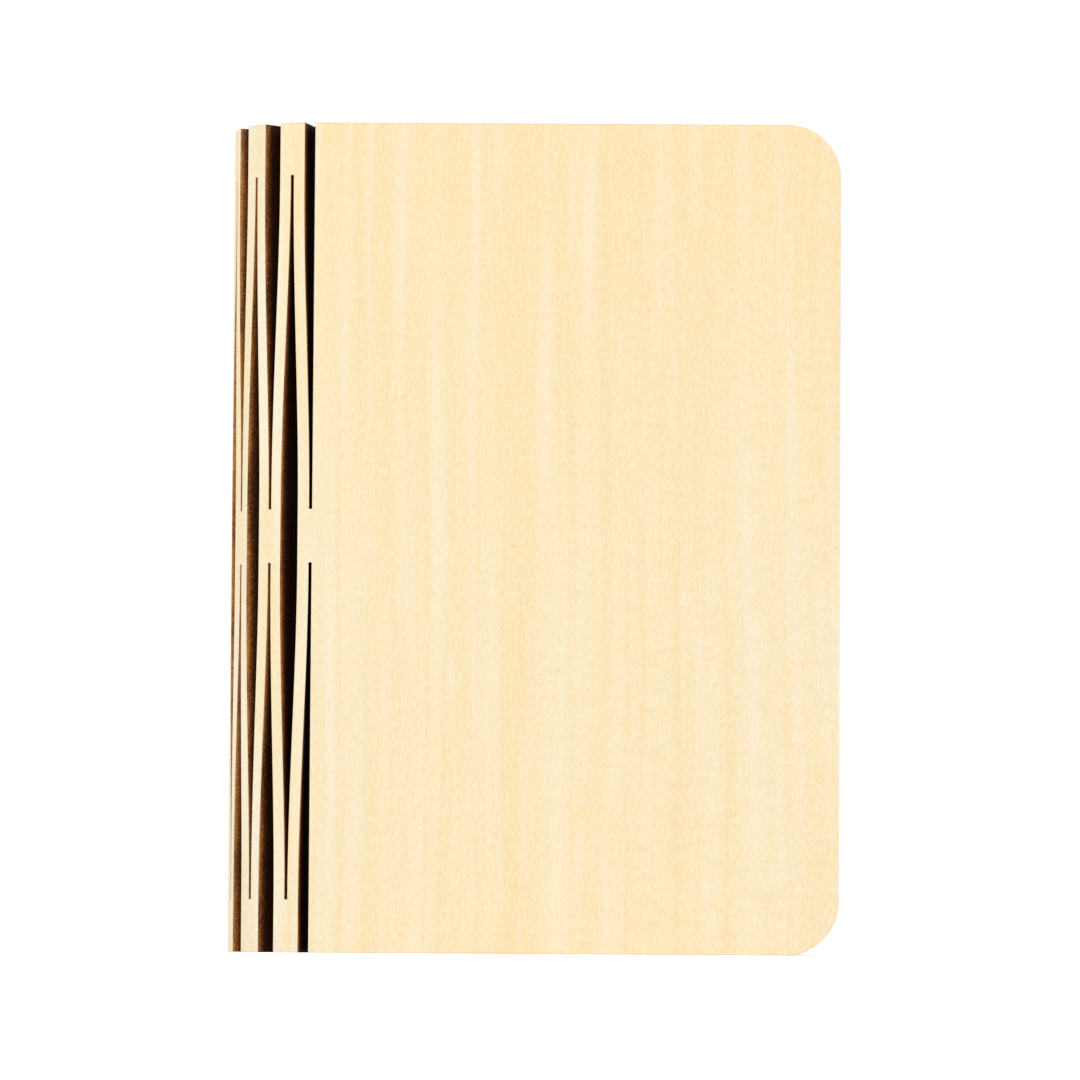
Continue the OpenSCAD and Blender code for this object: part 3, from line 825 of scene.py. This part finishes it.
def make_leaf(half, leaf):
    """One leaf between its two folds, very slightly wavy, as paper is."""
    y = leaf_y(half, leaf)
    start = leaf_sheet_start(half, leaf)
    offsets = [LEAF_W * step / LEAF_STEPS for step in range(LEAF_STEPS + 1)]
    line = [(INNER_FOLD_X + offset, y, math.pi / 2, start + offset) for offset in offsets]
    if leaf == LEAVES_PER_HALF - 1:
        line = middle_fold(half) + line
    phase = WAVE_SHIFT * leaf + (FRONT_WAVE_SHIFT if half == "front" else 0)

    def ripple(x, height):
        share = min(max((x - INNER_FOLD_X) / LEAF_W, 0), 1)
        swell = math.sin(math.pi * share) ** 2
        return PAGE_WAVE * swell * math.sin(phase + WAVE_TURN_UP * height + WAVE_TURN_ACROSS * share)

    name = f"{half}_endpaper_sheet" if leaf == 0 else f"{half}_page_{leaf}"
    piece = page_mesh(name, line, None if leaf == 0 else ripple)
    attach(piece, leaf_body(half, leaf))
    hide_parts(f"{half}_endpaper" if leaf == 0 else f"{half}_leaf_{leaf}")


def middle_fold(half):
    """The part of the middle fold that stays on the last leaf, with room to open."""
    radius = LEAF_PITCH / 2
    side = HALVES[half]
    line = []
    for step in range(MIDDLE_FOLD_STEPS, 0, -1):
        turn = MIDDLE_FOLD_REACH * step / MIDDLE_FOLD_STEPS
        normal = math.pi / 2 + turn
        line.append((INNER_FOLD_X - radius * math.sin(turn), side * radius * math.cos(turn),
                     side * normal + (math.pi if side < 0 else 0),
                     leaf_sheet_start(half, LEAVES_PER_HALF - 1) - radius * turn))
    return line


def make_crease(half, fold):
    """The half ring of paper that joins two neighbouring leaves."""
    centre = JOINTS[f"{half}_fold_{fold}"]
    radius = LEAF_PITCH / 2
    way = 1 if fold % 2 == 1 else -1
    start = leaf_sheet_start(half, fold)
    line = []
    for step in range(CREASE_STEPS + 1):
        angle = -math.pi / 2 + math.pi * step / CREASE_STEPS
        line.append((centre.x + way * radius * math.cos(angle), centre.y + radius * math.sin(angle),
                     math.atan2(math.sin(angle), way * math.cos(angle)), start + radius * angle))
    piece = page_mesh(f"{half}_crease_{fold}", line)
    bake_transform(piece)


# ---------- the parts that the frame already has ----------

CARRIED_OVER = {
    "front_magnets": "magnet_nickel", "back_magnets": "magnet_nickel", "trigger_magnet": "magnet_nickel",
    "core_tube": "core_plastic", "top_cap": "core_plastic", "bottom_cap": "core_plastic",
    "core_pad": "adhesive", "cap_screws": "screw_steel", "diffuser": "diffuser_plastic",
    "light_board": "light_board_white", "leds": "led_package", "cell": "cell_wrap",
    "cell_straps": "strap_nickel", "control_board": "control_board_green", "board_parts": "chip_black",
    "field_sensor": "chip_black", "socket_shell": "socket_steel", "socket_tongue": "chip_black",
    "indicator_lens": "lens_plastic",
}


def dress_carried_over():
    """Gives the CAD nodes that stay their materials."""
    for node, name in CARRIED_OVER.items():
        for slot in frame["nodes"][node].material_slots:
            slot.material = MATERIALS[name]


# ---------- stage ----------

SKY_LIGHT = 0.74
FLOOR_REACH = 3.0
FLOOR_GLOW = 0.45
LAMP_AIM = (0, 0, 0.06)
LAMP_SIZE = 0.8


def seen_or_mirrored(tree):
    """1 for rays from the camera, mirrors and glass, else 0."""
    rays = tree.nodes.new("ShaderNodeLightPath")
    total = rays.outputs["Is Camera Ray"]
    for kind in ("Is Glossy Ray", "Is Transmission Ray"):
        add = tree.nodes.new("ShaderNodeMath")
        add.operation = "MAXIMUM"
        tree.links.new(total, add.inputs[0])
        tree.links.new(rays.outputs[kind], add.inputs[1])
        total = add.outputs["Value"]
    return total


def make_world():
    """A white background, and an even light that is a little weaker than it."""
    world = bpy.data.worlds.new("studio")
    bpy.context.scene.world = world
    world.use_nodes = True
    tree = world.node_tree
    lit = tree.nodes["Background"]
    lit.inputs["Color"].default_value = (1, 1, 1, 1)
    lit.inputs["Strength"].default_value = SKY_LIGHT
    seen = tree.nodes.new("ShaderNodeBackground")
    seen.inputs["Color"].default_value = (1, 1, 1, 1)
    seen.inputs["Strength"].default_value = 1.0
    mix = tree.nodes.new("ShaderNodeMixShader")
    tree.links.new(seen_or_mirrored(tree), mix.inputs["Fac"])
    tree.links.new(lit.outputs["Background"], mix.inputs[1])
    tree.links.new(seen.outputs["Background"], mix.inputs[2])
    tree.links.new(mix.outputs["Shader"], tree.nodes["World Output"].inputs["Surface"])


def make_floor():
    """A white floor that keeps the object's shadow and meets the white background unseen."""
    corners = [(x * FLOOR_REACH, y * FLOOR_REACH, 0) for x, y in ((-1, -1), (1, -1), (1, 1), (-1, 1))]
    floor = mesh_object("floor", corners, [(0, 1, 2, 3)])
    material = bpy.data.materials.new("floor_white")
    material.use_nodes = True
    tree = material.node_tree
    shader = tree.nodes["Principled BSDF"]
    shader.inputs["Base Color"].default_value = tone(238, 238, 238)
    shader.inputs["Roughness"].default_value = 0.9
    glow = tree.nodes.new("ShaderNodeEmission")
    seen = tree.nodes.new("ShaderNodeMath")
    seen.operation = "MULTIPLY"
    tree.links.new(seen_or_mirrored(tree), seen.inputs[0])
    seen.inputs[1].default_value = FLOOR_GLOW
    tree.links.new(seen.outputs["Value"], glow.inputs["Strength"])
    add = tree.nodes.new("ShaderNodeAddShader")
    tree.links.new(shader.outputs["BSDF"], add.inputs[0])
    tree.links.new(glow.outputs["Emission"], add.inputs[1])
    tree.links.new(add.outputs["Shader"], tree.nodes["Material Output"].inputs["Surface"])
    floor.data.materials.append(material)


def make_lamp(name, place, power):
    """A square soft light that faces the object."""
    light = bpy.data.lights.new(name, "AREA")
    light.size = LAMP_SIZE
    light.energy = power
    lamp = bpy.data.objects.new(name, light)
    lamp.location = place
    lamp.rotation_euler = (Vector(LAMP_AIM) - Vector(place)).to_track_quat("-Z", "Y").to_euler()
    bpy.context.scene.collection.objects.link(lamp)


# ---------- camera ----------

# the photograph: azimuth and elevation of the view, its roll, the point of the front face that is in
# the middle of the picture, the camera's distance from it, and the lens on Blender's 36 mm sensor
VIEW_AZIMUTH = math.radians(-0.5004)
VIEW_ELEVATION = math.radians(3.6596)
VIEW_ROLL = math.radians(0.3694)
VIEW_TARGET = Vector((1.0376 * MM, COVER_LOW.y, 60.5532 * MM))
VIEW_DISTANCE = 840 * MM
LENS = 191.0


def make_camera():
    """The camera at the photograph's viewing angle."""
    forward = Vector((math.sin(VIEW_AZIMUTH) * math.cos(VIEW_ELEVATION),
                      math.cos(VIEW_AZIMUTH) * math.cos(VIEW_ELEVATION), math.sin(VIEW_ELEVATION)))
    level = Vector((math.cos(VIEW_AZIMUTH), -math.sin(VIEW_AZIMUTH), 0))
    upright = level.cross(forward)
    right = level * math.cos(VIEW_ROLL) + upright * math.sin(VIEW_ROLL)
    up = upright * math.cos(VIEW_ROLL) - level * math.sin(VIEW_ROLL)
    data = bpy.data.cameras.new("camera")
    data.lens = LENS
    data.clip_start = 0.01
    camera = bpy.data.objects.new("camera", data)
    bpy.context.scene.collection.objects.link(camera)
    turn = Matrix((right, up, -forward)).transposed().to_4x4()
    camera.matrix_world = Matrix.Translation(VIEW_TARGET - forward * VIEW_DISTANCE) @ turn
    bpy.context.scene.camera = camera


# ---------- the assembly ----------

make_camera()
for half in HALVES:
    make_cover(half)
    for leaf in range(LEAVES_PER_HALF):
        make_leaf(half, leaf)
    for fold in range(1, LEAVES_PER_HALF):
        make_crease(half, fold)
for link in range(1, LINK_COUNT + 1):
    make_link(link)
for strip in range(1, STRIP_COUNT + 1):
    make_half_strip(strip, upper=False)
    make_half_strip(strip, upper=True)
dress_carried_over()

make_world()
make_floor()
make_lamp("key", place=(-0.9, -1.2, 1.1), power=8.2)
make_lamp("fill", place=(0.9, -0.8, 0.9), power=2.7)
bpy.context.scene.view_settings.view_transform = "Standard"
